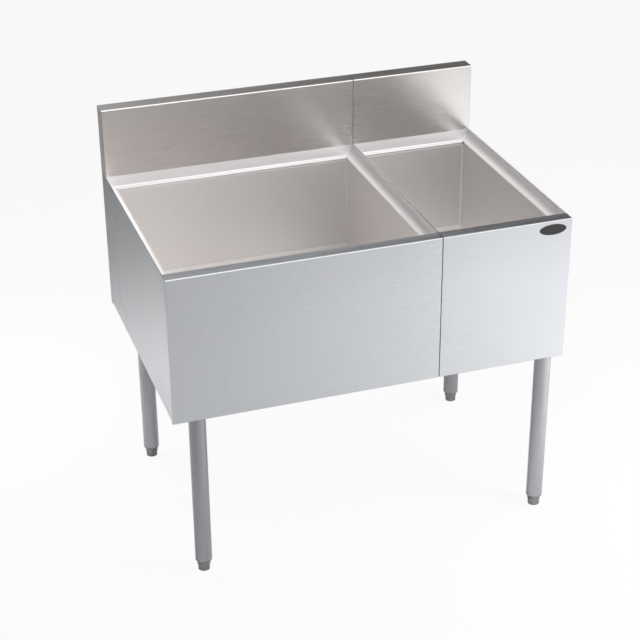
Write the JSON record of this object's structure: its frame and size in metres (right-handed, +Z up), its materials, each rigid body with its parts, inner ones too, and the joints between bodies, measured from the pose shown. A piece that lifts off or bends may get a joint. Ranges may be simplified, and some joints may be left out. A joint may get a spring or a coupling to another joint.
{
  "type": "bar sink with ice bin",
  "caption": "Free-standing stainless-steel underbar unit: an insulated ice bin and a narrow sink bowl bolted side by side under one backsplash, on tube legs with screw feet.",
  "frame": {"origin": "on the floor, at mid width and mid depth, with the feet screwed in", "axes": "+X to the right of someone who stands in front of the unit, +Y towards the wall behind it, +Z up"},
  "size_m": [0.9144, 0.6096, 0.925],
  "materials": {
    "brushed_sheet": "brushed, number 4",
    "well_sheet": "brushed, dull",
    "galvanised_sheet": "dull mill finish",
    "drain_steel": "satin",
    "foam": "foamed, matte",
    "black_rubber": "matte",
    "grey_seal": "satin",
    "plated_steel": "zinc plated, satin",
    "leg_tube": "fine brushed"
  },
  "bodies": {
    "unit": {"bin_front_panel": "brushed_sheet", "bin_left_panel": "brushed_sheet", "bin_right_panel": "brushed_sheet", "bin_backsplash": "brushed_sheet", "sink_front_panel": "brushed_sheet", "sink_left_panel": "brushed_sheet", "sink_right_panel": "brushed_sheet", "sink_backsplash": "brushed_sheet", "bin_side_rims": "well_sheet", "bin_back_rim": "well_sheet", "bin_liner": "well_sheet", "sink_side_rims": "well_sheet", "sink_back_rim": "well_sheet", "sink_bowl": "well_sheet", "bin_back_panel": "galvanised_sheet", "bin_bottom_panel": "galvanised_sheet", "sink_back_panel": "galvanised_sheet", "left_leg_channel": "galvanised_sheet", "right_leg_channel": "galvanised_sheet", "leg_sockets": "galvanised_sheet", "bin_drain": "drain_steel", "bin_drain_strainer": "drain_steel", "bin_drain_nut": "drain_steel", "bin_drain_pipe": "drain_steel", "sink_drain": "drain_steel", "sink_drain_nut": "drain_steel", "sink_drain_pipe": "drain_steel", "bin_insulation": "foam", "bin_drain_gasket": "black_rubber", "sink_drain_gasket": "black_rubber", "joint_seal": "grey_seal", "joining_bolts": "plated_steel", "joining_washers": "plated_steel", "joining_nuts": "plated_steel", "socket_screws": "plated_steel", "leg_inserts": "plated_steel", "front_left_leg": "leg_tube", "back_left_leg": "leg_tube", "front_right_leg": "leg_tube", "back_right_leg": "leg_tube"},
    "strainer_basket": {"sink_strainer_basket": "drain_steel"},
    "front_left_foot": {"front_left_foot": "plated_steel"},
    "back_left_foot": {"back_left_foot": "plated_steel"},
    "front_right_foot": {"front_right_foot": "plated_steel"},
    "back_right_foot": {"back_right_foot": "plated_steel"}
  },
  "joints": [
    {"name": "front_left_foot_adjust", "type": "slide", "parent": "unit", "child": "front_left_foot", "axis": [0, 0, -1], "range_m": [0, 0.025]},
    {"name": "back_left_foot_adjust", "type": "slide", "parent": "unit", "child": "back_left_foot", "axis": [0, 0, -1], "range_m": [0, 0.025]},
    {"name": "front_right_foot_adjust", "type": "slide", "parent": "unit", "child": "front_right_foot", "axis": [0, 0, -1], "range_m": [0, 0.025]},
    {"name": "back_right_foot_adjust", "type": "slide", "parent": "unit", "child": "back_right_foot", "axis": [0, 0, -1], "range_m": [0, 0.025]},
    {"name": "strainer_lift", "type": "slide", "parent": "unit", "child": "strainer_basket", "axis": [0, 0, 1], "range_m": [0, 0.3]}
  ]
}
